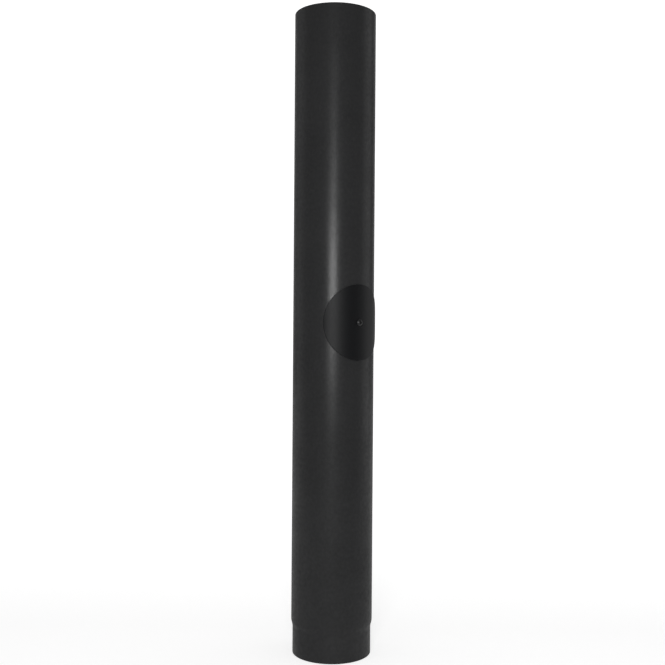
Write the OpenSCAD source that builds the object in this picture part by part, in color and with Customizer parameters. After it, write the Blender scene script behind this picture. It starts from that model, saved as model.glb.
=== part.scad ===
// Steel stove pipe with a spigot at its lower end and a round inspection door.
// The pipe stands on Z with the spigot's end at the origin, and the door faces -Y.
// The door is a disc rolled to the pipe's curve. One screw through its middle turns in a nut
// that is welded to a flat bar, and the bar bears on the inside of the pipe.

/* [Pipe] */
// Outer diameter of the pipe
pipe_od = 127; // [110:1:206]
// Thickness of the pipe's sheet
wall_t = 2; // [1:0.1:3]
// Whole length with the spigot
pipe_len = 1000; // [750:10:2000]
// Rounding on the edges of both ends
rim_round = 0.4; // [0.1:0.05:0.45]
// Width of the weld bead down the back
seam_w = 3; // [2:0.5:6]
// Height of the weld bead over the sheet
seam_h = 0.2; // [0.1:0.05:0.6]

/* [Spigot] */
// Length of the spigot's straight part
spigot_len = 40; // [25:1:80]
// Length of the double bend from the spigot to the pipe
swage_len = 14; // [10:1:30]
// Gap all round between the spigot and the bore of the next pipe
spigot_play = 0.2; // [0.1:0.05:0.8]

/* [Inspection opening] */
// Height of the opening's centre over the spigot's end
door_z = 517.5; // [200:2.5:650]
// Diameter of the opening in the flat sheet
opening_d = 96; // [70:1:110]

/* [Cover] */
// How far the cover laps over the opening's edge above and below
cover_lap = 10; // [6:0.5:16]
// Thickness of the cover's sheet
cover_t = 1.5; // [1:0.1:3]
// Gap between the pipe and the gasket
gasket_gap = 0.15; // [0.1:0.05:0.5]
// Thickness of the gasket as it is pressed
gasket_t = 0.35; // [0.2:0.05:3]
// How far the gasket stays back from the cover's edge and from the opening
gasket_inset = 1; // [0.5:0.25:2]
// Gap between the gasket and the cover
cover_gap = 0.03; // [0.02:0.01:0.1]

/* [Screw] */
// Diameter of the thread
screw_d = 6; // [5:0.5:8]
// Length under the head
screw_len = 20; // [18:1:35]
// Diameter of the button head
head_d = 10.5; // [10:0.1:14]
// Height of the button head
head_h = 3.3; // [2.8:0.1:4.4]
// Height of the straight edge under the head's dome
head_edge = 0.6; // [0.3:0.1:1]
// Hexagon socket, across its flats
socket_af = 4; // [3:0.5:5]
// Depth of the socket
socket_deep = 2.1; // [1.6:0.1:2.5]
// Chamfer at the tip
tip_chamfer = 0.8; // [0.4:0.1:1.2]
// Gap all round between the screw and its hole in the cover
hole_play = 0.3; // [0.2:0.05:0.6]

/* [Clamp bar and nut] */
// Width of the bar
bar_w = 20; // [16:1:30]
// Thickness of the bar
bar_t = 4; // [3:0.5:6]
// How far the bar reaches past the opening at each end
bar_lap = 12; // [8:1:20]
// Rounding of the bar's corners
bar_round = 3; // [1:0.5:5]
// Nut, across its flats
nut_af = 11; // [10:0.5:14]
// Height of the nut over the bar
nut_h = 5; // [4:0.5:8]
// Wall of the nut's collar, which sits in the bar's hole
collar_wall = 1; // [0.6:0.1:1.3]
// Height of the nut's collar
collar_h = 1; // [0.5:0.1:1.5]
// Gap all round between the screw and the nut
thread_play = 0.05; // [0.02:0.01:0.1]
// Gap at a seat between two pieces that rest on each other
seat_gap = 0.1; // [0.05:0.05:0.3]

/* [Hidden] */

// Radii of the pipe and its spigot
pipe_ro = pipe_od / 2;
pipe_ri = pipe_ro - wall_t;
pipe_mid = (pipe_ro + pipe_ri) / 2;
spigot_ro = pipe_ri - spigot_play;
spigot_ri = spigot_ro - wall_t;
spigot_mid = (spigot_ro + spigot_ri) / 2;

// The double bend is two equal arcs that meet half way, measured at the middle of the sheet
bend_in = pipe_ro - spigot_ro;
bend_r = (swage_len * swage_len + bend_in * bend_in) / (4 * bend_in);
bend_angle = asin(swage_len / (2 * bend_r));
body_z = spigot_len + swage_len;

// Radii of the gasket and the cover, which share the pipe's axis
gasket_ri = pipe_ro + gasket_gap;
gasket_ro = gasket_ri + gasket_t;
cover_ri = gasket_ro + cover_gap;
cover_ro = cover_ri + cover_t;
cover_mid = (cover_ro + cover_ri) / 2;
cover_d = opening_d + 2 * cover_lap;

// Distances from the pipe's axis, along the door's own axis
head_y = cover_ro + seat_gap;
head_top_y = head_y + head_h;
tip_y = head_y - screw_len;
bar_out_y = sqrt(pow(pipe_ri - seat_gap, 2) - pow(bar_w / 2, 2));
bar_in_y = bar_out_y - bar_t;
nut_in_y = bar_in_y - nut_h;
collar_d = screw_d + 2 * collar_wall;

// The head's dome is part of a ball that meets the straight edge
dome_h = head_h - head_edge;
dome_r = (pow(head_d / 2, 2) + dome_h * dome_h) / (2 * dome_h);

// The plug that cuts the door's outlines reaches from inside the pipe to well outside it
plug_near = 0.5 * pipe_ro;
plug_far = 1.6 * pipe_ro;

// Steps round a whole turn, along a bend, round a rim's edge and round the door's outline
round_steps = 180;
bend_steps = 8;
rim_steps = 4;
outline_steps = 96;
cut = 1;

PAINT = [0.19, 0.19, 0.195];
SATIN = [0.13, 0.13, 0.14];
FIBRE = [0.78, 0.76, 0.70];
BLACK_STEEL = [0.07, 0.07, 0.075];
STEEL = [0.55, 0.56, 0.58];

// Points along an arc from angle a to angle b
function arc(centre, r, a, b, steps) =
    [for (i = [0:steps]) centre + r * [cos(a + (b - a) * i / steps), sin(a + (b - a) * i / steps)]];

// One side of the wall from the spigot up to the pipe, a distance off the middle of the sheet
function swage_side(off) = concat(
    arc([spigot_mid + bend_r, spigot_len], bend_r - off, 180, 180 - bend_angle, bend_steps),
    arc([pipe_mid - bend_r, body_z], bend_r + off, -bend_angle, 0, bend_steps)
);

function reversed(list) = [for (i = [len(list) - 1:-1:0]) list[i]];

// Section of the sheet, from the spigot's end up the outside and down the inside
function wall_section() = concat(
    arc([spigot_ro - rim_round, rim_round], rim_round, -90, 0, rim_steps),
    swage_side(wall_t / 2),
    arc([pipe_ro - rim_round, pipe_len - rim_round], rim_round, 0, 90, rim_steps),
    arc([pipe_ri + rim_round, pipe_len - rim_round], rim_round, 90, 180, rim_steps),
    reversed(swage_side(-wall_t / 2)),
    arc([spigot_ri + rim_round, rim_round], rim_round, 180, 270, rim_steps)
);

// Place at radius r for a point of a flat sheet, s to the side of the door's centre and h above it,
// when the sheet is rolled. Rolling keeps lengths at the sheet's middle, which lies at radius mid_r.
function rolled(r, s, h, mid_r) =
    let (turn = s / mid_r * 180 / PI) [r * sin(turn), -r * cos(turn), door_z + h];

// Puts the children on the door's axis, with their Z pointing out of the pipe
module on_door_axis() {
    translate([0, 0, door_z]) rotate([90, 0, 0]) children();
}

// A round outline on a flat sheet, rolled with it, as a plug with sides that point at the axis
module rolled_plug(radius, mid_r) {
    n = outline_steps;
    outline = [for (i = [0:n - 1]) radius * [cos(360 * i / n), sin(360 * i / n)]];
    near = [for (p = outline) rolled(plug_near, p.x, p.y, mid_r)];
    far = [for (p = outline) rolled(plug_far, p.x, p.y, mid_r)];
    middles = [rolled(plug_near, 0, 0, mid_r), rolled(plug_far, 0, 0, mid_r)];
    near_middle = 2 * n;
    far_middle = 2 * n + 1;
    faces = [
        for (i = [0:n - 1])
            let (j = (i + 1) % n)
            each [[i, j, near_middle], [j, i, n + i], [j, n + i, n + j], [n + j, n + i, far_middle]]
    ];
    polyhedron(concat(near, far, middles), faces);
}

// A ring about the pipe's axis that spans the door's height
module door_ring(ri, ro) {
    tall = cover_d + 2 * cut;
    translate([0, 0, door_z - tall / 2]) difference() {
        cylinder(r = ro, h = tall, $fn = round_steps);
        translate([0, 0, -cut]) cylinder(r = ri, h = tall + 2 * cut, $fn = round_steps);
    }
}

// The weld down the back stands slightly proud from the double bend to the top
module seam_bead() {
    intersection() {
        translate([0, 0, body_z]) difference() {
            cylinder(r = pipe_ro + seam_h, h = pipe_len - rim_round - body_z, $fn = round_steps);
            translate([0, 0, -cut]) cylinder(r = pipe_mid, h = pipe_len, $fn = round_steps);
        }
        translate([-seam_w / 2, 0, 0]) cube([seam_w, pipe_od, pipe_len]);
    }
}

module rounded_bar(w, l, r) {
    square([w - 2 * r, l], center = true);
    square([w, l - 2 * r], center = true);
    for (x = [-1, 1], y = [-1, 1]) translate([x * (w / 2 - r), y * (l / 2 - r)]) circle(r = r, $fn = 48);
}

module pipe_shell() {
    color(PAINT) difference() {
        union() {
            rotate_extrude($fn = round_steps) polygon(wall_section());
            seam_bead();
        }
        rolled_plug(opening_d / 2, pipe_mid);
    }
}

module cover_plate() {
    color(SATIN) difference() {
        intersection() {
            door_ring(cover_ri, cover_ro);
            rolled_plug(cover_d / 2, cover_mid);
        }
        on_door_axis() cylinder(r = screw_d / 2 + hole_play, h = plug_far, $fn = 64);
    }
}

module cover_gasket() {
    color(FIBRE) difference() {
        intersection() {
            door_ring(gasket_ri, gasket_ro);
            rolled_plug(cover_d / 2 - gasket_inset, cover_mid);
        }
        rolled_plug(opening_d / 2 + gasket_inset, pipe_mid);
    }
}

module cover_screw() {
    section = concat(
        [[0, tip_y], [screw_d / 2 - tip_chamfer, tip_y], [screw_d / 2, tip_y + tip_chamfer]],
        [[screw_d / 2, head_y], [head_d / 2, head_y]],
        arc([0, head_top_y - dome_r], dome_r, asin((dome_r - dome_h) / dome_r), 90, 12)
    );
    color(BLACK_STEEL) on_door_axis() difference() {
        rotate_extrude($fn = 96) polygon(section);
        translate([0, 0, head_top_y - socket_deep]) cylinder(d = socket_af / cos(30), h = head_h, $fn = 6);
    }
}

module clamp_bar() {
    color(STEEL) on_door_axis() translate([0, 0, bar_in_y]) linear_extrude(bar_t) difference() {
        rounded_bar(bar_w, opening_d + 2 * bar_lap, bar_round);
        circle(d = collar_d + 2 * seat_gap, $fn = 64);
    }
}

module weld_nut() {
    flat_r = nut_af / 2;
    corner_r = flat_r / cos(30);
    bore_r = screw_d / 2 + thread_play;
    color(STEEL) on_door_axis() difference() {
        union() {
            intersection() {
                translate([0, 0, nut_in_y]) cylinder(r = corner_r, h = nut_h, $fn = 6);
                translate([0, 0, nut_in_y]) rotate_extrude($fn = 96) polygon([
                    [0, 0], [flat_r, 0], [corner_r, (corner_r - flat_r) * tan(30)], [corner_r, nut_h], [0, nut_h]
                ]);
            }
            translate([0, 0, bar_in_y - cut]) cylinder(d = collar_d, h = collar_h + cut, $fn = 64);
        }
        translate([0, 0, nut_in_y - cut]) cylinder(r = bore_r, h = nut_h + collar_h + 2 * cut, $fn = 64);
    }
}

pipe_shell();
cover_plate();
cover_gasket();
cover_screw();
clamp_bar();
weld_nut();
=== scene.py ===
from math import asin, ceil, cos, pi, radians, sin, tan

import bmesh
import bpy
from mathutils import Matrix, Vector


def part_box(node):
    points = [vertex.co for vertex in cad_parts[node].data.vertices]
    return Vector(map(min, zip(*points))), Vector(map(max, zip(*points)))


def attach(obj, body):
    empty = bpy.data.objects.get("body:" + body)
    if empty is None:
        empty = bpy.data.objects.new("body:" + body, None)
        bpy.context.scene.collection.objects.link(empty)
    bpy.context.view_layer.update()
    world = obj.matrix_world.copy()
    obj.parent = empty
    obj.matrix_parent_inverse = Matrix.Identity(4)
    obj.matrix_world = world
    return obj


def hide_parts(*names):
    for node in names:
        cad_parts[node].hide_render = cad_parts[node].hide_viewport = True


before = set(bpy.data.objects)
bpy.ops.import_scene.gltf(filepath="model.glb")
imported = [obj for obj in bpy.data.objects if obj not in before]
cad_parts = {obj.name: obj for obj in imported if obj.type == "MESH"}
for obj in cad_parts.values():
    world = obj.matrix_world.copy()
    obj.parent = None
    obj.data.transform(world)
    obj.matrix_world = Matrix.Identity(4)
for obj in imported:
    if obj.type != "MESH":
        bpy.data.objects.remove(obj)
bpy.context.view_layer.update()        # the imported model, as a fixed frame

# Everything is in metres, in the part's own frame: the pipe stands on Z and the door faces -Y.
MM = 0.001

# Sizes of the pipe
PIPE_LOW, PIPE_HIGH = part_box("pipe_shell")
PIPE_R = PIPE_HIGH.x
PIPE_LEN = PIPE_HIGH.z
WALL = 2 * MM
PIPE_MID = PIPE_R - WALL / 2
SPIGOT_LEN = 40 * MM
SWAGE_LEN = 14 * MM
SPIGOT_PLAY = 0.2 * MM
SPIGOT_INSET = WALL + SPIGOT_PLAY
BODY_Z = SPIGOT_LEN + SWAGE_LEN
RIM_ROUND = 0.4 * MM
OPENING_R = 48 * MM
SEAM_W = 3 * MM
SEAM_H = PIPE_HIGH.y - PIPE_R

# Sizes of the cover and its gasket
COVER_LOW, COVER_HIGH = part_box("cover_plate")
COVER_R = (COVER_HIGH.z - COVER_LOW.z) / 2
DOOR_Z = (COVER_HIGH.z + COVER_LOW.z) / 2
COVER_OUT = -COVER_LOW.y
COVER_T = 1.5 * MM
COVER_MID = COVER_OUT - COVER_T / 2
COVER_EDGE = 0.5 * MM
HOLE_R = 3.3 * MM
GASKET_LOW, GASKET_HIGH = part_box("cover_gasket")
GASKET_T = 0.35 * MM
GASKET_MID = -GASKET_LOW.y - GASKET_T / 2
GASKET_INSET = 1 * MM

# Sizes of the screw, as distances from the pipe's axis along the door's axis
SCREW_LOW, SCREW_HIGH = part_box("cover_screw")
HEAD_R = SCREW_HIGH.x
HEAD_H = 3.3 * MM
HEAD_EDGE = 0.6 * MM
HEAD_GAP = 0.1 * MM
HEAD_UNDER = COVER_OUT + HEAD_GAP
HEAD_TOP = HEAD_UNDER + HEAD_H
SCREW_TIP = -SCREW_HIGH.y
SOCKET_AF = 4 * MM
SOCKET_DEEP = 2.1 * MM
PITCH = 1 * MM
THREAD_R = 2.95 * MM
ROOT_R = 2.39 * MM

# Sizes of the clamp bar and the nut on it
BAR_LOW, BAR_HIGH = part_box("clamp_bar")
BAR_ROUND = 3 * MM
BAR_EDGE = 0.35 * MM
BAR_HOLE_R = 4.1 * MM
NUT_LOW, NUT_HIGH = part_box("weld_nut")
NUT_AF = 11 * MM
NUT_BORE_R = 3.05 * MM
NUT_ROOT_R = 2.5 * MM
COLLAR_R = 4 * MM
COLLAR_H = 1 * MM


# Camera

CAMERA_TURN = radians(-37.3)
CAMERA_DISTANCE = 1.4948
CAMERA_HEIGHT = 0.5086
CAMERA_ASIDE = -1.45 * MM
CAMERA_DIP = radians(0.256)
CAMERA_ROLL = radians(0.40)
LENS_MM = 51.37

TO_CAMERA = Vector((sin(CAMERA_TURN), -cos(CAMERA_TURN), 0))
CAMERA_RIGHT = Vector((cos(CAMERA_TURN), sin(CAMERA_TURN), 0))


def place_camera():
    """The photograph's view: level with the middle of the pipe, with the door turned to the right."""
    data = bpy.data.cameras.new("camera")
    data.lens = LENS_MM
    camera = bpy.data.objects.new("camera", data)
    bpy.context.collection.objects.link(camera)
    camera.location = CAMERA_DISTANCE * TO_CAMERA + CAMERA_ASIDE * CAMERA_RIGHT + Vector((0, 0, CAMERA_HEIGHT))
    look = -TO_CAMERA * cos(CAMERA_DIP) - Vector((0, 0, sin(CAMERA_DIP)))
    turn = look.to_track_quat("-Z", "Y").to_matrix().to_4x4()
    camera.rotation_euler = turn.to_euler()
    camera.rotation_euler.rotate_axis("Z", CAMERA_ROLL)
    bpy.context.scene.camera = camera


# Tools for modelling

def take(*pieces):
    """Leaves only these pieces selected in object mode, with the first one active."""
    bpy.ops.object.select_all(action="DESELECT")
    for piece in pieces:
        piece.select_set(True)
    bpy.context.view_layer.objects.active = pieces[0]


def edit(piece, mode="FACE"):
    """Opens a piece in edit mode with everything selected."""
    take(piece)
    bpy.ops.object.mode_set(mode="EDIT")
    bpy.ops.mesh.select_mode(type=mode)
    bpy.ops.mesh.select_all(action="SELECT")


def done():
    bpy.ops.object.mode_set(mode="OBJECT")


def named(name):
    """Names the primitive that was just added and puts its turn and scale in its mesh."""
    piece = bpy.context.object
    piece.name = name
    piece.data.name = name
    bpy.ops.object.transform_apply(location=False, rotation=True, scale=True)
    return piece


def select(kind, test):
    """Selects the vertices, edges or faces of the piece in edit mode that pass the test."""
    mesh = bpy.context.object.data
    bpy.ops.mesh.select_all(action="DESELECT")
    bpy.ops.mesh.select_mode(type={"verts": "VERT", "edges": "EDGE", "faces": "FACE"}[kind])
    found = bmesh.from_edit_mesh(mesh)
    for part in getattr(found, kind):
        if test(part):
            part.select_set(True)
    found.select_flush_mode()
    bmesh.update_edit_mesh(mesh)


def middle(part):
    """Middle of an edge or a face."""
    return sum((v.co for v in part.verts), Vector()) / len(part.verts)


def extrude(*steps):
    """Extrudes the selection along each step in turn."""
    for step in steps:
        bpy.ops.mesh.extrude_region_move(TRANSFORM_OT_translate={"value": step})


def modify(piece, kind, **settings):
    """Adds a modifier with these settings and applies it."""
    take(piece)
    modifier = piece.modifiers.new(kind, kind)
    for name, value in settings.items():
        setattr(modifier, name, value)
    bpy.ops.object.modifier_apply(modifier=modifier.name)


def cut(piece, tool, operation="DIFFERENCE"):
    """Cuts a piece with a tool piece, or joins or intersects them, and removes the tool."""
    modify(piece, "BOOLEAN", operation=operation, solver="EXACT", object=tool)
    bpy.data.objects.remove(tool)


def settle(piece, smooth_deg=32):
    """Puts a piece's place in its mesh and smooths it, except over its edges."""
    take(piece)
    bpy.ops.object.transform_apply(location=True, rotation=True, scale=True)
    bpy.ops.object.shade_smooth_by_angle(angle=radians(smooth_deg))


def roll(sheet, mid_r):
    """Rolls an upright flat sheet round the pipe's axis, which lies mid_r behind the sheet's middle."""
    bpy.context.view_layer.update()
    modify(sheet, "SIMPLE_DEFORM", deform_method="BEND", deform_axis="Z", angle=sheet.dimensions.x / mid_r)


def revolve(name, profile, steps):
    """A turned piece about Z from a profile of (radius, height) points, given from the axis to the axis."""
    bpy.ops.mesh.primitive_plane_add(size=MM)
    piece = named(name)
    edit(piece, "VERT")
    bpy.ops.mesh.merge(type="CENTER")
    bpy.ops.mesh.select_all(action="SELECT")
    points = [Vector((r, 0, z)) for r, z in profile]
    bpy.ops.transform.translate(value=points[0])
    extrude(*(b - a for a, b in zip(points, points[1:])))
    bpy.ops.mesh.select_all(action="SELECT")
    bpy.ops.mesh.spin(steps=steps, angle=2 * pi, center=(0, 0, 0), axis=(0, 0, 1))
    bpy.ops.mesh.select_all(action="SELECT")
    bpy.ops.mesh.remove_doubles(threshold=0.002 * MM)
    bpy.ops.mesh.normals_make_consistent(inside=False)
    done()
    return piece


def lay_on_door_axis(piece):
    """Turns a piece that was modelled about Z so that its Z points out of the door."""
    take(piece)
    piece.rotation_euler = (pi / 2, 0, 0)
    piece.location = (0, 0, DOOR_Z)
    bpy.ops.object.transform_apply(location=True, rotation=True, scale=True)


def dress(piece, body, slot, replaced, *finishes):
    """Gives a finished piece its finishes and the body it moves with, and hides the solid that it stands for."""
    piece.data.materials.clear()
    for finish in finishes:
        piece.data.materials.append(finish)
    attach(piece, body)
    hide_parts(replaced)


# The pipe, rolled from one sheet

SHEET_COLUMNS = 128
BAND_ROWS = 36
DOOR_BLOCK = 34
OPENING_RINGS = 6
SUPPORT = 1.2 * MM
LONG_STEPS = 16


def swage_steps():
    """Steps down the double bend: two equal arcs that meet half way."""
    bend_r = (SWAGE_LEN**2 + SPIGOT_INSET**2) / (4 * SPIGOT_INSET)
    bend = asin(SWAGE_LEN / (2 * bend_r))
    parts = 8
    upper = [Vector((0, bend_r * (1 - cos(bend * i / parts)), -bend_r * sin(bend * i / parts)))
             for i in range(parts + 1)]
    lower = [Vector((0, SPIGOT_INSET, -SWAGE_LEN)) - p for p in reversed(upper)]
    line = upper + lower[1:]
    return [b - a for a, b in zip(line, line[1:])]


def level_steps(length, parts):
    """Equal steps straight up or down."""
    return [Vector((0, 0, length / parts))] * parts


def make_opening(cell):
    """Cuts a round opening in the sheet's middle and joins it to the rows and columns round it."""
    half = cell * DOOR_BLOCK / 2
    select("faces", lambda f: abs(middle(f).x) < half and abs(middle(f).z) < half)
    bpy.ops.mesh.delete(type="FACE")
    bpy.ops.mesh.primitive_circle_add(vertices=4 * DOOR_BLOCK, radius=OPENING_R,
                                      location=(0, -PIPE_MID, DOOR_Z), rotation=(pi / 2, 0, 0))
    edge = half + 0.1 * cell
    select("edges", lambda e: len(e.link_faces) < 2 and all(max(abs(v.co.x), abs(v.co.z)) < edge for v in e.verts))
    bpy.ops.mesh.bridge_edge_loops(number_cuts=OPENING_RINGS - 1, interpolation="LINEAR")


def model_pipe():
    """One sheet with its opening and drawn-in spigot, given its thickness flat and then rolled."""
    width = 2 * pi * PIPE_MID
    cell = width / SHEET_COLUMNS
    band = BAND_ROWS * cell
    bpy.ops.mesh.primitive_grid_add(x_subdivisions=SHEET_COLUMNS, y_subdivisions=BAND_ROWS, size=1,
                                    location=(0, -PIPE_MID, DOOR_Z), rotation=(pi / 2, 0, 0))
    pipe = named("pipe_wall")
    edit(pipe)
    bpy.ops.transform.resize(value=(width, 1, band))
    make_opening(cell)
    over = PIPE_LEN - DOOR_Z - band / 2
    under = DOOR_Z - band / 2 - BODY_Z
    select("edges", lambda e: all(v.co.z > band / 2 - 0.1 * cell for v in e.verts))
    extrude(*level_steps(over - SUPPORT, LONG_STEPS), *level_steps(SUPPORT, 1))
    select("edges", lambda e: all(v.co.z < -band / 2 + 0.1 * cell for v in e.verts))
    extrude(*level_steps(SUPPORT - under, LONG_STEPS), *level_steps(-SUPPORT, 1), *swage_steps(),
            *level_steps(-SUPPORT, 1), *level_steps(2 * SUPPORT - SPIGOT_LEN, 2), *level_steps(-SUPPORT, 1))
    done()
    modify(pipe, "SOLIDIFY", thickness=WALL, offset=0, use_even_offset=True, material_offset=1)
    edit(pipe)
    select("faces", lambda f: abs(middle(f).x) > width / 2 - 0.01 * cell)
    bpy.ops.mesh.delete(type="FACE")
    done()
    modify(pipe, "BEVEL", width=RIM_ROUND, segments=3, limit_method="ANGLE", angle_limit=radians(60))
    roll(pipe, PIPE_MID)
    edit(pipe)
    bpy.ops.mesh.remove_doubles(threshold=0.02 * MM)
    done()
    settle(pipe)
    return pipe


RIPPLE_PITCH = 1.4 * MM
RIPPLE_LEN = 2.6 * MM


def model_seam():
    """The weld down the back: one flat ripple, repeated up the pipe."""
    bpy.ops.mesh.primitive_uv_sphere_add(segments=10, ring_count=5, radius=0.5,
                                         location=(0, PIPE_R, BODY_Z + RIPPLE_LEN / 2))
    seam = named("weld_bead")
    edit(seam)
    bpy.ops.transform.resize(value=(SEAM_W, 2 * SEAM_H, RIPPLE_LEN))
    select("verts", lambda v: abs(v.co.x) < SEAM_W / 4)
    bpy.ops.transform.translate(value=(0, 0, RIPPLE_LEN / 8))
    done()
    span = PIPE_LEN - RIM_ROUND - BODY_Z - 1.3 * RIPPLE_LEN
    count = int(span / RIPPLE_PITCH)
    modify(seam, "ARRAY", count=count, use_relative_offset=False, use_constant_offset=True,
           constant_offset_displace=(0, 0, span / count))
    settle(seam, 60)
    return seam


# The cover, its gasket and its screw

COVER_RING = 3.4 * MM
DISC_STEPS = 136


def inset_rings(total, count, stretch=1):
    """Insets the selected face by equal rings, and stretches each ring sideways by the given share."""
    for _ in range(count):
        bpy.ops.mesh.inset(thickness=total / count, depth=0)
        bpy.ops.transform.resize(value=(stretch, 1, 1))


def flat_disc(name, radius, mid_r):
    """A flat disc that stands where its middle touches the rolled sheet."""
    bpy.ops.mesh.primitive_circle_add(vertices=DISC_STEPS, radius=radius, fill_type="NGON",
                                      location=(0, -mid_r, DOOR_Z), rotation=(pi / 2, 0, 0))
    return named(name)


def model_cover():
    """A flat disc with a hole, its edges broken, rolled to the pipe's curve."""
    cover = flat_disc("cover_disc", COVER_R, COVER_MID)
    edit(cover)
    inset_rings(SUPPORT, 1)
    rest = COVER_R - HOLE_R - 2 * SUPPORT
    inset_rings(rest, ceil(rest / COVER_RING))
    inset_rings(SUPPORT, 1)
    bpy.ops.mesh.delete(type="FACE")
    done()
    modify(cover, "SOLIDIFY", thickness=COVER_T, offset=0)
    modify(cover, "BEVEL", width=COVER_EDGE, segments=3, limit_method="ANGLE", angle_limit=radians(60))
    roll(cover, COVER_MID)
    settle(cover)
    return cover


def model_gasket():
    """A flat fibre ring that fits under the cover and round the opening, rolled with them."""
    rings = 5
    outer = COVER_R - GASKET_INSET
    inner = OPENING_R + GASKET_INSET
    at_cover = GASKET_MID / COVER_MID
    at_opening = GASKET_MID / PIPE_MID
    gasket = flat_disc("gasket_ring", outer, GASKET_MID)
    edit(gasket)
    bpy.ops.transform.resize(value=(at_cover, 1, 1))
    inset_rings(outer - inner, rings, (at_opening / at_cover) ** (1 / rings))
    bpy.ops.mesh.delete(type="FACE")
    done()
    modify(gasket, "SOLIDIFY", thickness=GASKET_T, offset=0)
    modify(gasket, "BEVEL", width=0.08 * MM, segments=2, limit_method="ANGLE", angle_limit=radians(60))
    roll(gasket, GASKET_MID)
    settle(gasket)
    return gasket


THREAD_STEPS = 48


def thread_ridge(name, base_r, crest_r, base_w, crest_w, low, high, phase):
    """A helical ridge about Z from one height to another, from a base radius to a crest radius."""
    bpy.ops.mesh.primitive_plane_add(size=1, rotation=(pi / 2, 0, 0))
    ridge = named(name)
    edit(ridge, "VERT")
    select("verts", lambda v: v.co.x > 0)
    bpy.ops.transform.resize(value=(1, 1, crest_w / base_w))
    bpy.ops.mesh.select_all(action="SELECT")
    bpy.ops.transform.resize(value=(crest_r - base_r, 1, base_w))
    bpy.ops.transform.translate(value=((crest_r + base_r) / 2, 0, phase))
    bpy.ops.mesh.select_all(action="SELECT")
    bpy.ops.mesh.delete(type="ONLY_FACE")
    done()
    first = int((low - phase) // PITCH)
    turns = ceil((high - low) / PITCH) + 2
    edit(ridge, "VERT")
    bpy.ops.transform.translate(value=(0, 0, (first - 1) * PITCH))
    done()
    modify(ridge, "SCREW", axis="Z", angle=2 * pi, screw_offset=PITCH, iterations=turns + 1,
           steps=THREAD_STEPS, render_steps=THREAD_STEPS, use_merge_vertices=False)
    edit(ridge, "EDGE")
    select("edges", lambda e: len(e.link_faces) < 2)
    bpy.ops.mesh.edge_face_add()
    bpy.ops.mesh.select_all(action="SELECT")
    bpy.ops.mesh.normals_make_consistent(inside=False)
    done()
    return ridge


def dome_profile():
    """Section of the button head from its straight edge up the dome to the flat round the socket."""
    dome_h = HEAD_H - HEAD_EDGE
    dome_r = (HEAD_R**2 + dome_h**2) / (2 * dome_h)
    start = asin((dome_r - dome_h) / dome_r)
    parts = 14
    angles = [start + (pi / 2 - start) * i / parts for i in range(parts + 1)]
    return [(dome_r * cos(a), HEAD_TOP - dome_r + dome_r * sin(a)) for a in angles]


def socket_tool():
    """A hexagon with a countersunk mouth and a drill's cone at its bottom, to cut the socket."""
    corner = SOCKET_AF / 2 / cos(pi / 6)
    bottom = HEAD_TOP - SOCKET_DEEP
    high = 2 * MM
    bpy.ops.mesh.primitive_cylinder_add(vertices=6, radius=corner, depth=SOCKET_DEEP + high,
                                        location=(0, 0, bottom + (SOCKET_DEEP + high) / 2))
    tool = named("socket_tool")
    bpy.ops.object.transform_apply(location=True)
    drill_r = SOCKET_AF / 2 - 0.1 * MM
    cone = revolve("drill_tool", [(0, bottom - 0.5 * MM), (drill_r, bottom), (drill_r, bottom + 0.5 * MM),
                                  (0, bottom + 0.5 * MM)], 48)
    cut(tool, cone, "UNION")
    mouth = corner + 0.06 * MM
    sink = revolve("mouth_tool", [(0, HEAD_TOP - mouth * tan(radians(30))), (mouth + high / tan(radians(30)),
                                  HEAD_TOP + high), (0, HEAD_TOP + high)], 48)
    cut(tool, sink, "UNION")
    return tool


def model_screw():
    """A button-head screw with a hexagon socket and a real thread."""
    fillet = 0.3 * MM
    edge = 0.12 * MM
    chamfer = 0.8 * MM
    neck = HEAD_UNDER - 2 * PITCH
    head = [(0, SCREW_TIP), (ROOT_R - 0.3 * MM, SCREW_TIP), (ROOT_R, SCREW_TIP + 0.5 * MM), (ROOT_R, neck),
            (THREAD_R, neck + 0.6 * MM), (THREAD_R, HEAD_UNDER - fillet), (THREAD_R + 0.3 * fillet, HEAD_UNDER - 0.3 * fillet),
            (THREAD_R + fillet, HEAD_UNDER), (HEAD_R - edge, HEAD_UNDER), (HEAD_R, HEAD_UNDER + edge)]
    screw = revolve("button_screw", head + dome_profile()[:-1] + [(0, HEAD_TOP)], 96)
    cut(screw, socket_tool())
    ridge = thread_ridge("screw_thread", ROOT_R - 0.1 * MM, THREAD_R, 0.9 * PITCH, 0.14 * PITCH,
                         SCREW_TIP, neck + 0.4 * MM, 0)
    envelope = revolve("thread_envelope", [(0, SCREW_TIP), (THREAD_R - chamfer, SCREW_TIP),
                                           (THREAD_R + edge, SCREW_TIP + chamfer + edge),
                                           (THREAD_R + edge, neck + 0.5 * MM), (0, neck + 0.5 * MM)], 96)
    cut(ridge, envelope, "INTERSECT")
    cut(screw, ridge, "UNION")
    lay_on_door_axis(screw)
    settle(screw)
    return screw


# The clamp bar and its weld nut

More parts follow.
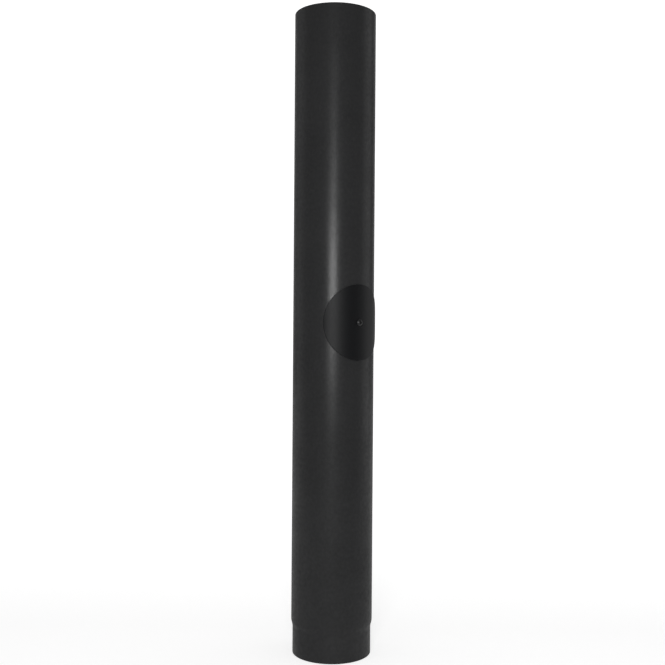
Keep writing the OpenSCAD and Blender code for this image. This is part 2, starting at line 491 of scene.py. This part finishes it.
def model_bar():
    """A flat bar with round corners, broken edges and a hole for the nut's collar."""
    bpy.ops.mesh.primitive_cube_add(size=1, location=(BAR_LOW + BAR_HIGH) / 2)
    bar = named("bar_plate")
    bar.dimensions = BAR_HIGH - BAR_LOW
    bpy.ops.object.transform_apply(location=False, rotation=True, scale=True)
    edit(bar, "EDGE")
    select("edges", lambda e: abs(e.verts[0].co.y - e.verts[1].co.y) > MM)
    bpy.ops.mesh.bevel(offset=BAR_ROUND, segments=8)
    done()
    bpy.ops.object.transform_apply(location=True)
    depth = 4 * (BAR_HIGH.y - BAR_LOW.y)
    bpy.ops.mesh.primitive_cylinder_add(vertices=64, radius=BAR_HOLE_R, depth=depth,
                                        location=(BAR_LOW + BAR_HIGH) / 2, rotation=(pi / 2, 0, 0))
    cut(bar, named("hole_tool"))
    modify(bar, "BEVEL", width=BAR_EDGE, segments=3, limit_method="ANGLE", angle_limit=radians(50))
    settle(bar)
    return bar


def weld_lump(turn):
    """One of the three small welds between the nut's corners and the bar."""
    bar_face = -BAR_HIGH.y
    reach = NUT_AF / 2 / cos(pi / 6)
    bpy.ops.mesh.primitive_ico_sphere_add(subdivisions=3, radius=1,
                                          location=(reach * cos(turn), reach * sin(turn), bar_face))
    lump = named("weld_lump")
    edit(lump)
    bpy.ops.transform.resize(value=(1.5 * MM, 2.2 * MM, 1.1 * MM))
    bpy.ops.transform.rotate(value=turn, orient_axis="Z", center_override=lump.location)
    bpy.ops.transform.vertex_random(offset=0.12 * MM, seed=int(10 * turn))
    done()
    bpy.ops.object.transform_apply(location=True)
    return lump


def model_nut():
    """A hexagon weld nut with a chamfered face, a collar in the bar's hole and a threaded bore."""
    bar_face = -BAR_HIGH.y
    low = -NUT_HIGH.y
    flat_r = NUT_AF / 2
    corner_r = flat_r / cos(pi / 6)
    tall = bar_face - low
    bpy.ops.mesh.primitive_cylinder_add(vertices=6, radius=corner_r, depth=tall, location=(0, 0, low + tall / 2))
    nut = named("nut_body")
    bpy.ops.object.transform_apply(location=True)
    chamfer = (corner_r - flat_r) * tan(radians(30))
    inset = 0.2 * MM
    envelope = revolve("nut_envelope", [(0, low), (flat_r - inset, low), (corner_r, low + chamfer + inset),
                                        (corner_r + MM, low + chamfer + inset), (corner_r + MM, bar_face + MM),
                                        (0, bar_face + MM)], 96)
    cut(nut, envelope, "INTERSECT")
    collar = revolve("nut_collar", [(0, bar_face - MM), (COLLAR_R, bar_face - MM),
                                    (COLLAR_R, bar_face + COLLAR_H - inset),
                                    (COLLAR_R - inset, bar_face + COLLAR_H), (0, bar_face + COLLAR_H)], 64)
    cut(nut, collar, "UNION")
    sink = 0.45 * MM
    top = bar_face + COLLAR_H
    bore = revolve("bore_tool", [(0, low - MM), (NUT_BORE_R + sink + MM, low - MM), (NUT_BORE_R, low + sink),
                                 (NUT_BORE_R, top - sink), (NUT_BORE_R + sink + MM, top + MM), (0, top + MM)], 64)
    cut(nut, bore)
    modify(nut, "BEVEL", width=0.12 * MM, segments=2, limit_method="ANGLE", angle_limit=radians(40))
    ridge = thread_ridge("nut_thread", NUT_BORE_R + 0.15 * MM, NUT_ROOT_R, 0.9 * PITCH, 0.2 * PITCH,
                         low, top, PITCH / 2)
    inside = revolve("thread_envelope", [(0, low + inset), (NUT_BORE_R + MM, low + inset),
                                         (NUT_BORE_R + MM, top - inset), (0, top - inset)], 64)
    cut(ridge, inside, "INTERSECT")
    lumps = [weld_lump(turn) for turn in (0, 2 * pi / 3, 4 * pi / 3)]
    take(nut, ridge, *lumps)
    bpy.ops.object.join()
    lay_on_door_axis(nut)
    settle(nut)
    return nut


# Tools for finishes

def put(tree, kind, inputs=None, **settings):
    """Adds a node, sets its properties, and fills its inputs with values or with other nodes' outputs."""
    node = tree.nodes.new(kind)
    for name, value in settings.items():
        setattr(node, name, value)
    for name, value in (inputs or {}).items():
        if isinstance(value, bpy.types.NodeSocket):
            tree.links.new(value, node.inputs[name])
        else:
            node.inputs[name].default_value = value
    return node


def share(tree, factor, low, high, from_low=0.0, from_high=1.0):
    """A value that runs from low to high as the factor runs over its range."""
    return put(tree, "ShaderNodeMapRange", {"Value": factor, "From Min": from_low, "From Max": from_high,
                                            "To Min": low, "To Max": high}).outputs["Result"]


def mixed(tree, factor, one, other):
    """A colour between two colours."""
    node = put(tree, "ShaderNodeMix", data_type="RGBA")
    for socket, value in zip((node.inputs[0], node.inputs[6], node.inputs[7]), (factor, one, other)):
        if isinstance(value, bpy.types.NodeSocket):
            tree.links.new(value, socket)
        else:
            socket.default_value = value
    return node.outputs[2]


def maths(tree, operation, *values):
    node = put(tree, "ShaderNodeMath", operation=operation)
    for socket, value in zip(node.inputs, values):
        if isinstance(value, bpy.types.NodeSocket):
            tree.links.new(value, socket)
        else:
            socket.default_value = value
    return node.outputs[0]


def effect(name, inputs, outputs):
    """An empty effect with named inputs and outputs. Inputs are (name, kind, value)."""
    tree = bpy.data.node_groups.new(name, "ShaderNodeTree")
    for label, kind, value in inputs:
        socket = tree.interface.new_socket(label, in_out="INPUT", socket_type=kind)
        if value is not None:
            socket.default_value = value
    for label, kind in outputs:
        tree.interface.new_socket(label, in_out="OUTPUT", socket_type=kind)
    return tree, tree.nodes.new("NodeGroupInput").outputs, tree.nodes.new("NodeGroupOutput").inputs


def use(tree, group, inputs):
    """Places an effect in a finish and gives its outputs."""
    return put(tree, "ShaderNodeGroup", inputs, node_tree=group).outputs


FLOAT, COLOUR, VECTOR = "NodeSocketFloat", "NodeSocketColor", "NodeSocketVector"


def sprayed_effect():
    """Sprayed heat-proof paint: fine grain, the slow clouds of an uneven coat and a soft orange peel."""
    tree, given, out = effect("sprayed_coat", [
        ("Place", VECTOR, None), ("Colour", COLOUR, (0.02, 0.02, 0.02, 1)), ("Cloud", FLOAT, 0.1),
        ("Roughness", FLOAT, 0.45), ("Gloss", FLOAT, 0.4), ("Grain size", FLOAT, 0.0006),
        ("Spread", FLOAT, 0.05),
    ], [("Colour", COLOUR), ("Roughness", FLOAT), ("Gloss", FLOAT), ("Height", FLOAT)])
    fine = put(tree, "ShaderNodeTexNoise", {"Vector": given["Place"], "Detail": 3.0, "Roughness": 0.65,
                                            "Scale": maths(tree, "DIVIDE", 1.0, given["Grain size"])})
    peel = put(tree, "ShaderNodeTexNoise", {"Vector": given["Place"], "Scale": 190.0, "Detail": 2.0})
    cloud = put(tree, "ShaderNodeTexNoise", {"Vector": given["Place"], "Scale": 9.0, "Detail": 4.0,
                                             "Roughness": 0.6})
    tone = maths(tree, "SUBTRACT", cloud.outputs["Fac"], 0.5)
    grain = maths(tree, "SUBTRACT", fine.outputs["Fac"], 0.5)
    change = maths(tree, "ADD", maths(tree, "MULTIPLY", tone, given["Cloud"]),
                   maths(tree, "MULTIPLY", grain, given["Cloud"]))
    tint = put(tree, "ShaderNodeHueSaturation", {"Color": given["Colour"],
                                                 "Value": maths(tree, "ADD", 1.0, change)})
    tree.links.new(tint.outputs["Color"], out["Colour"])
    rough = maths(tree, "ADD", maths(tree, "MULTIPLY", tone, given["Spread"]),
                  maths(tree, "MULTIPLY", grain, given["Spread"]))
    tree.links.new(maths(tree, "ADD", given["Roughness"], rough), out["Roughness"])
    patch = maths(tree, "SUBTRACT", peel.outputs["Fac"], 0.5)
    broken = maths(tree, "ADD", 1.0, maths(tree, "ADD", maths(tree, "MULTIPLY", tone, 0.9), patch))
    tree.links.new(maths(tree, "MULTIPLY", given["Gloss"], broken), out["Gloss"])
    tree.links.new(maths(tree, "ADD", fine.outputs["Fac"],
                         maths(tree, "MULTIPLY", peel.outputs["Fac"], 2.4)), out["Height"])
    return tree


def drawn_effect():
    """Steel as it comes from the mill: fine lines along one direction, stains and small pits."""
    tree, given, out = effect("drawn_steel", [
        ("Place", VECTOR, None), ("Along", VECTOR, (1.0, 1.0, 0.04)), ("Line size", FLOAT, 0.0004),
    ], [("Lines", FLOAT), ("Stain", FLOAT), ("Pits", FLOAT)])
    stretched = put(tree, "ShaderNodeVectorMath", {0: given["Place"], 1: given["Along"]}, operation="MULTIPLY")
    lines = put(tree, "ShaderNodeTexNoise", {"Vector": stretched.outputs[0], "Detail": 4.0, "Roughness": 0.7,
                                             "Scale": maths(tree, "DIVIDE", 1.0, given["Line size"])})
    stain = put(tree, "ShaderNodeTexNoise", {"Vector": given["Place"], "Scale": 24.0, "Detail": 5.0,
                                             "Distortion": 0.8})
    pits = put(tree, "ShaderNodeTexVoronoi", {"Vector": given["Place"], "Scale": 900.0})
    tree.links.new(lines.outputs["Fac"], out["Lines"])
    tree.links.new(stain.outputs["Fac"], out["Stain"])
    tree.links.new(share(tree, pits.outputs["Distance"], 1.0, 0.0, 0.0, 0.35), out["Pits"])
    return tree


def finish_of(name, specular=0.5, metallic=0.0):
    """A new finish: its node tree, its shader and the place that its patterns read."""
    material = bpy.data.materials.new(name)
    material.use_nodes = True
    tree = material.node_tree
    shader = tree.nodes["Principled BSDF"]
    shader.inputs["Specular IOR Level"].default_value = specular
    shader.inputs["Metallic"].default_value = metallic
    return material, tree, shader, put(tree, "ShaderNodeTexCoord").outputs["Object"]


def raise_surface(tree, shader, height, distance, strength=1.0):
    bump = put(tree, "ShaderNodeBump", {"Height": height, "Distance": distance, "Strength": strength})
    tree.links.new(bump.outputs["Normal"], shader.inputs["Normal"])


def grey(value, tint=0.0):
    """A dark grey, slightly blue where tint is over 0."""
    return (value * (1 - tint), value * (1 - tint / 2), value * (1 + tint), 1.0)


def painted(name, coat, colour, body, gloss, cloud, grain_size, depth):
    """A sprayed finish over sheet steel. Its body has a specular level and a roughness, and the
    binder on it has a weight and a roughness."""
    material, tree, shader, place = finish_of(name, body[0])
    shader.inputs["Coat Roughness"].default_value = gloss[1]
    sprayed = use(tree, coat, {"Place": place, "Colour": colour, "Roughness": body[1], "Gloss": gloss[0],
                               "Cloud": cloud, "Grain size": grain_size})
    tree.links.new(sprayed["Colour"], shader.inputs["Base Color"])
    tree.links.new(sprayed["Roughness"], shader.inputs["Roughness"])
    tree.links.new(sprayed["Gloss"], shader.inputs["Coat Weight"])
    raise_surface(tree, shader, sprayed["Height"], depth)
    return material


def bare_inside(drawn, coat):
    """Inside of the pipe: dull mill steel, with paint blown in over the first centimetres of both ends."""
    material, tree, shader, place = finish_of("bare_inside", 0.5)
    steel = use(tree, drawn, {"Place": place, "Along": (1.0, 1.0, 0.05), "Line size": 0.0007})
    height = put(tree, "ShaderNodeSeparateXYZ", {0: place}).outputs["Z"]
    low = share(tree, height, 1.0, 0.0, 0.01, 0.05)
    high = share(tree, height, 0.0, 1.0, PIPE_LEN - 0.07, PIPE_LEN - 0.01)
    blown = maths(tree, "MAXIMUM", low, high)
    ragged = maths(tree, "MULTIPLY", blown, share(tree, steel["Stain"], 0.6, 1.3, 0.3, 0.7))
    mill = mixed(tree, steel["Stain"], (0.11, 0.115, 0.125, 1), (0.2, 0.195, 0.19, 1))
    tree.links.new(mixed(tree, ragged, mill, (0.02, 0.02, 0.021, 1)), shader.inputs["Base Color"])
    tree.links.new(share(tree, ragged, 0.85, 0.0), shader.inputs["Metallic"])
    tree.links.new(share(tree, steel["Lines"], 0.36, 0.62, 0.2, 0.8), shader.inputs["Roughness"])
    raise_surface(tree, shader, steel["Lines"], 0.00004)
    return material


def pressed_fibre():
    """Gasket of pressed ceramic fibre: pale, soft and finely felted."""
    material, tree, shader, place = finish_of("pressed_fibre", 0.3)
    felt = put(tree, "ShaderNodeTexNoise", {"Vector": place, "Scale": 1800.0, "Detail": 5.0, "Roughness": 0.7})
    flecks = put(tree, "ShaderNodeTexVoronoi", {"Vector": place, "Scale": 420.0})
    tone = mixed(tree, share(tree, flecks.outputs["Distance"], 0.0, 1.0, 0.1, 0.6), (0.34, 0.31, 0.26, 1),
                 (0.56, 0.54, 0.49, 1))
    tree.links.new(tone, shader.inputs["Base Color"])
    shader.inputs["Roughness"].default_value = 0.95
    raise_surface(tree, shader, felt.outputs["Fac"], 0.00012)
    return material


def blackened_screw(drawn):
    """Oiled black-oxide steel, with faint stains and fine lines in its roughness and surface."""
    material, tree, shader, place = finish_of("blackened_screw", 0.5, 0.3)
    steel = use(tree, drawn, {"Place": place, "Along": (1.0, 1.0, 1.0), "Line size": 0.0005})
    tree.links.new(mixed(tree, steel["Stain"], (0.008, 0.008, 0.009, 1), (0.02, 0.02, 0.021, 1)),
                   shader.inputs["Base Color"])
    tree.links.new(share(tree, steel["Lines"], 0.30, 0.46, 0.25, 0.75), shader.inputs["Roughness"])
    raise_surface(tree, shader, steel["Lines"], 0.00001)
    return material


def plain_bar_steel(drawn):
    """Cold-drawn bar: grey steel with lines along the bar and heat colours round the nut's welds."""
    material, tree, shader, place = finish_of("plain_bar_steel", 0.5, 1.0)
    steel = use(tree, drawn, {"Place": place, "Along": (1.0, 1.0, 0.03), "Line size": 0.0003})
    base = mixed(tree, steel["Stain"], (0.30, 0.305, 0.31, 1), (0.42, 0.42, 0.42, 1))
    weld = put(tree, "ShaderNodeVectorMath", {0: place, 1: (0.0, BAR_HIGH.y, DOOR_Z)}, operation="DISTANCE")
    heat = put(tree, "ShaderNodeValToRGB", {"Fac": share(tree, weld.outputs["Value"], 0.0, 1.0, 0.005, 0.016)})
    ramp = heat.color_ramp.elements
    ramp[0].position, ramp[0].color = 0.0, (0.10, 0.10, 0.12, 1)
    ramp[1].position, ramp[1].color = 1.0, (1.0, 1.0, 1.0, 1)
    for position, colour in ((0.25, (0.22, 0.28, 0.62, 1)), (0.42, (0.45, 0.20, 0.42, 1)),
                             (0.6, (0.85, 0.55, 0.24, 1)), (0.8, (1.0, 0.9, 0.66, 1))):
        ramp.new(position).color = colour
    tinted = put(tree, "ShaderNodeMix", data_type="RGBA", blend_type="MULTIPLY")
    tinted.inputs[0].default_value = 1.0
    tree.links.new(base, tinted.inputs[6])
    tree.links.new(heat.outputs["Color"], tinted.inputs[7])
    tree.links.new(tinted.outputs[2], shader.inputs["Base Color"])
    tree.links.new(share(tree, steel["Lines"], 0.24, 0.44, 0.25, 0.75), shader.inputs["Roughness"])
    raise_surface(tree, shader, steel["Lines"], 0.00002)
    return material


# Floor, backdrop and light

FLOOR_R = 6.0
BACKDROP_AWAY = 2.4
BACKDROP_W = 3.2
BACKDROP_H = 2.2
GLOW_NEAR = 0.62
GLOW_FAR = 0.85
GLOW_MIRRORED = 0.6
WHITE_FRONT = 0.6
WHITE_FULL = 0.12
WHITE_FAR = 1.0


def studio_white():
    """White for the floor and backdrop: the camera and mirrors see it bright, and it keeps shadows."""
    material = bpy.data.materials.new("studio_white")
    material.use_nodes = True
    tree = material.node_tree
    shader = tree.nodes["Principled BSDF"]
    shader.inputs["Base Color"].default_value = (0.8, 0.8, 0.8, 1)
    shader.inputs["Roughness"].default_value = 0.9
    shader.inputs["Specular IOR Level"].default_value = 0.1
    ray = put(tree, "ShaderNodeLightPath").outputs
    mirrored = maths(tree, "MULTIPLY", ray["Is Glossy Ray"], GLOW_MIRRORED)
    seen = maths(tree, "MAXIMUM", ray["Is Camera Ray"], maths(tree, "MAXIMUM", mirrored, ray["Is Transmission Ray"]))
    place = put(tree, "ShaderNodeTexCoord").outputs["Object"]
    behind = put(tree, "ShaderNodeVectorMath", {0: place, 1: tuple(-TO_CAMERA)}, operation="DOT_PRODUCT")
    behind = behind.outputs["Value"]
    strength = maths(tree, "ADD", share(tree, behind, 0.0, GLOW_NEAR, -WHITE_FRONT, -WHITE_FULL),
                     share(tree, behind, 0.0, GLOW_FAR - GLOW_NEAR, WHITE_FULL, WHITE_FAR))
    glow = maths(tree, "MULTIPLY", seen, strength)
    glow = put(tree, "ShaderNodeEmission", {"Color": (1, 1, 1, 1), "Strength": glow})
    both = put(tree, "ShaderNodeAddShader", {0: shader.outputs[0], 1: glow.outputs[0]})
    tree.links.new(both.outputs[0], tree.nodes["Material Output"].inputs["Surface"])
    return material


def make_stage():
    """A pale floor all round and a backdrop behind the pipe as the camera sees it."""
    white = studio_white()
    bpy.ops.mesh.primitive_circle_add(vertices=64, radius=FLOOR_R, fill_type="NGON", location=(0, 0, 0))
    floor = named("floor")
    bpy.ops.mesh.primitive_plane_add(size=1, rotation=(pi / 2, 0, CAMERA_TURN),
                                     location=-BACKDROP_AWAY * TO_CAMERA + Vector((0, 0, BACKDROP_H / 2)))
    bpy.context.object.scale = (BACKDROP_W, BACKDROP_H, 1)
    backdrop = named("backdrop")
    for stage in (floor, backdrop):
        settle(stage)
        stage.data.materials.append(white)


def add_lamp(name, turn, distance, height, aim_height, size, power):
    """A soft rectangular lamp, at an angle round the pipe from the camera's side."""
    data = bpy.data.lights.new(name, "AREA")
    data.shape = "RECTANGLE"
    data.size, data.size_y = size
    data.energy = power
    lamp = bpy.data.objects.new(name, data)
    bpy.context.collection.objects.link(lamp)
    lamp.location = (distance * sin(CAMERA_TURN + turn), -distance * cos(CAMERA_TURN + turn), height)
    aim = Vector((0, 0, aim_height)) - lamp.location
    lamp.rotation_euler = aim.to_track_quat("-Z", "Y").to_euler()
    lamp.visible_camera = False


def light_studio():
    add_lamp("lamp_by_camera", radians(-2.6), 1.5, 0.64, 0.55, (0.42, 0.06), 9.2)
    add_lamp("lamp_over_camera", radians(-2.6), 1.5, 1.05, 0.6, (0.36, 0.30), 1.2)
    add_lamp("lamp_left", radians(-112), 2.4, 1.1, 0.5, (1.6, 2.2), 3.8)
    add_lamp("lamp_right", radians(106), 2.4, 1.1, 0.5, (1.4, 2.2), 7)
    add_lamp("lamp_top", 0, 0.01, 2.6, 0.5, (1.5, 1.5), 4)
    world = bpy.data.worlds.new("studio")
    bpy.context.scene.world = world
    world.use_nodes = True
    world.node_tree.nodes["Background"].inputs["Color"].default_value = (1, 1, 1, 1)
    world.node_tree.nodes["Background"].inputs["Strength"].default_value = 0.22


place_camera()

coat = sprayed_effect()
drawn = drawn_effect()
pipe_paint = painted("pipe_paint", coat, grey(0.027, 0.02), (0.02, 0.8), (0.40, 0.31), 0.16, 0.0006, 0.00003)
cover_paint = painted("cover_paint", coat, grey(0.002, 0.3), (0.27, 0.50), (0.0, 0.5), 0.12, 0.0005, 0.00003)
inside = bare_inside(drawn, coat)

dress(model_pipe(), "pipe", "pipe_paint", "pipe_shell", pipe_paint, inside)
dress(model_seam(), "pipe", "pipe_paint", "pipe_shell", pipe_paint)
dress(model_cover(), "cover", "cover_paint", "cover_plate", cover_paint)
dress(model_gasket(), "cover", "gasket_fibre", "cover_gasket", pressed_fibre())
dress(model_screw(), "screw", "screw_steel", "cover_screw", blackened_screw(drawn))
bar_steel = plain_bar_steel(drawn)
dress(model_bar(), "pipe", "bar_steel", "clamp_bar", bar_steel)
dress(model_nut(), "pipe", "bar_steel", "weld_nut", bar_steel)

make_stage()
light_studio()
bpy.context.scene.view_settings.view_transform = "Standard"
